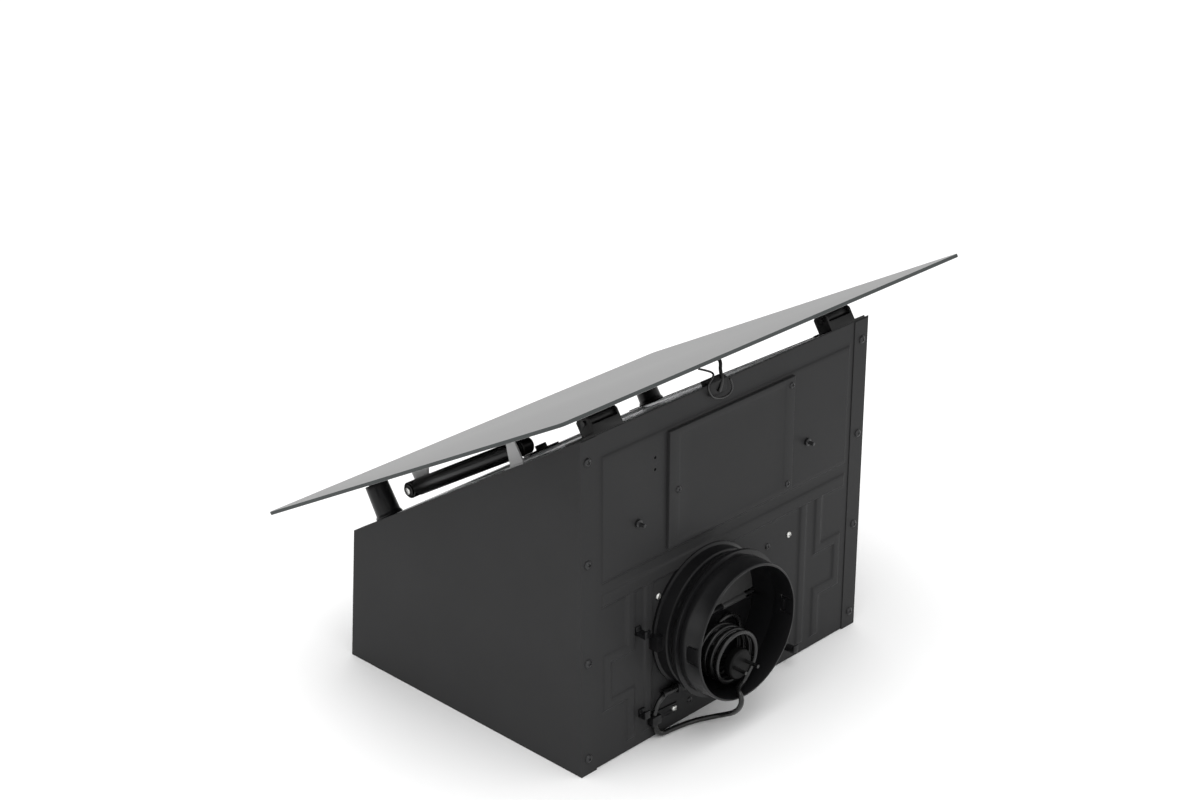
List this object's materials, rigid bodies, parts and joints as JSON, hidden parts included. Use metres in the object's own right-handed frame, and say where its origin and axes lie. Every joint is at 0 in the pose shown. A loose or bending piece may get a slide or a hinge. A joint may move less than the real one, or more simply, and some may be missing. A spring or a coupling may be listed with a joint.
{
  "type": "inclined cooker hood",
  "caption": "Inclined wall cooker hood lying on its wall side: black casing, round duct outlet with non-return flaps, grease filter and a hinged glass front on a gas strut.",
  "frame": {"origin": "centre of the wall side of the casing, where it lies on the floor", "axes": "+X along the width, +Y from the duct face (top in use) towards the lower face (underside in use), +Z away from the wall"},
  "size_m": [0.6, 0.4642, 0.4399],
  "materials": {
    "casing_paint": "satin",
    "zinc_steel": "satin",
    "bright_screws": "bright",
    "black_plastic": "fine grain",
    "flap_grey": "matt",
    "hinge_black": "satin",
    "bracket_grey": "satin",
    "strut_black": "gloss",
    "rod_chrome": "polished",
    "panel_glass": "printed grey on the back",
    "filter_aluminium": "satin",
    "motor_can": "satin",
    "lamp_chrome": "polished",
    "lamp_glass": "frosted",
    "buffer_rubber": "matt",
    "cord_black": "matt"
  },
  "bodies": {
    "casing": {"side_panel_near": "casing_paint", "side_panel_far": "casing_paint", "duct_plate": "casing_paint", "wall_plate": "casing_paint", "lower_plate": "casing_paint", "front_frame": "casing_paint", "access_cover": "casing_paint", "cover_screws": "bright_screws", "side_screws": "bright_screws", "plate_screws": "bright_screws", "chimney_studs": "bright_screws", "spacer_clips": "black_plastic", "filter_frame": "filter_aluminium", "filter_mesh": "filter_aluminium", "filter_latch": "black_plastic", "blower_housing": "zinc_steel", "inlet_ring": "black_plastic", "motor": "motor_can", "motor_bracket": "zinc_steel", "control_box": "black_plastic", "lamp_bezels": "lamp_chrome", "lamp_lenses": "lamp_glass", "outlet_base": "black_plastic", "outlet_collar": "black_plastic", "collar_clips": "black_plastic", "flap_axle": "bright_screws", "hinge_bases": "hinge_black", "hinge_pins": "bright_screws", "rest_posts": "black_plastic", "post_buffers": "buffer_rubber", "strut_bracket_casing": "bracket_grey", "mains_cord": "cord_black", "cord_boot": "cord_black", "cord_clamp": "black_plastic", "cord_clamp_screw": "bright_screws", "cable_guide": "black_plastic"},
    "panel": {"glass_panel": "panel_glass", "panel_frame": "zinc_steel", "hinge_leaves": "hinge_black", "strut_bracket_panel": "bracket_grey", "touch_unit": "black_plastic"},
    "strut_cylinder": {"strut_cylinder": "strut_black"},
    "strut_rod": {"strut_rod": "rod_chrome", "strut_fitting": "strut_black", "strut_end_pin": "bright_screws"},
    "impeller": {"impeller": "black_plastic"},
    "flap_upper": {"flap_upper": "flap_grey"},
    "flap_lower": {"flap_lower": "black_plastic"},
    "stowed_cord": {"cord_over_lip": "cord_black", "cord_coil": "cord_black", "mains_plug": "black_plastic", "plug_pins": "bright_screws"}
  },
  "joints": [
    {"name": "panel_hinge", "type": "hinge", "parent": "casing", "child": "panel", "pos_m": [0, -0.1629, 0.383], "axis": [1, 0, 0], "range_deg": [0, 50]},
    {"name": "strut_pivot", "type": "hinge", "parent": "casing", "child": "strut_cylinder", "pos_m": [-0.185, -0.06442, 0.3217], "axis": [1, 0, 0], "range_deg": [0, 70.5]},
    {"name": "strut_slide", "type": "slide", "parent": "strut_cylinder", "child": "strut_rod", "axis": [0, 0.8498, -0.5272], "range_m": [0, 0.0576]},
    {"name": "impeller_spin", "type": "hinge", "parent": "casing", "child": "impeller", "pos_m": [0.055, 0.008, 0.114], "axis": [0, 0, 1], "continuous": true},
    {"name": "flap_upper_hinge", "type": "hinge", "parent": "casing", "child": "flap_upper", "pos_m": [-0.038, -0.183, 0.1175], "axis": [1, 0, 0], "range_deg": [0, 75], "stiffness_Nm_per_rad": 0.004, "springref_deg": -57.3},
    {"name": "flap_lower_hinge", "type": "hinge", "parent": "casing", "child": "flap_lower", "pos_m": [-0.038, -0.183, 0.1175], "axis": [-1, 0, 0], "range_deg": [0, 5], "stiffness_Nm_per_rad": 0.004, "springref_deg": -57.3},
    {"name": "cord_out", "type": "slide", "parent": "casing", "child": "stowed_cord", "axis": [0, -1, 0], "range_m": [0, 0.6]}
  ],
  "couplings": [
    {"joint": "strut_pivot", "follows": "panel_hinge", "ratio": 1.4083},
    {"joint": "strut_slide", "follows": "panel_hinge", "m_per_rad": 0.065964}
  ]
}
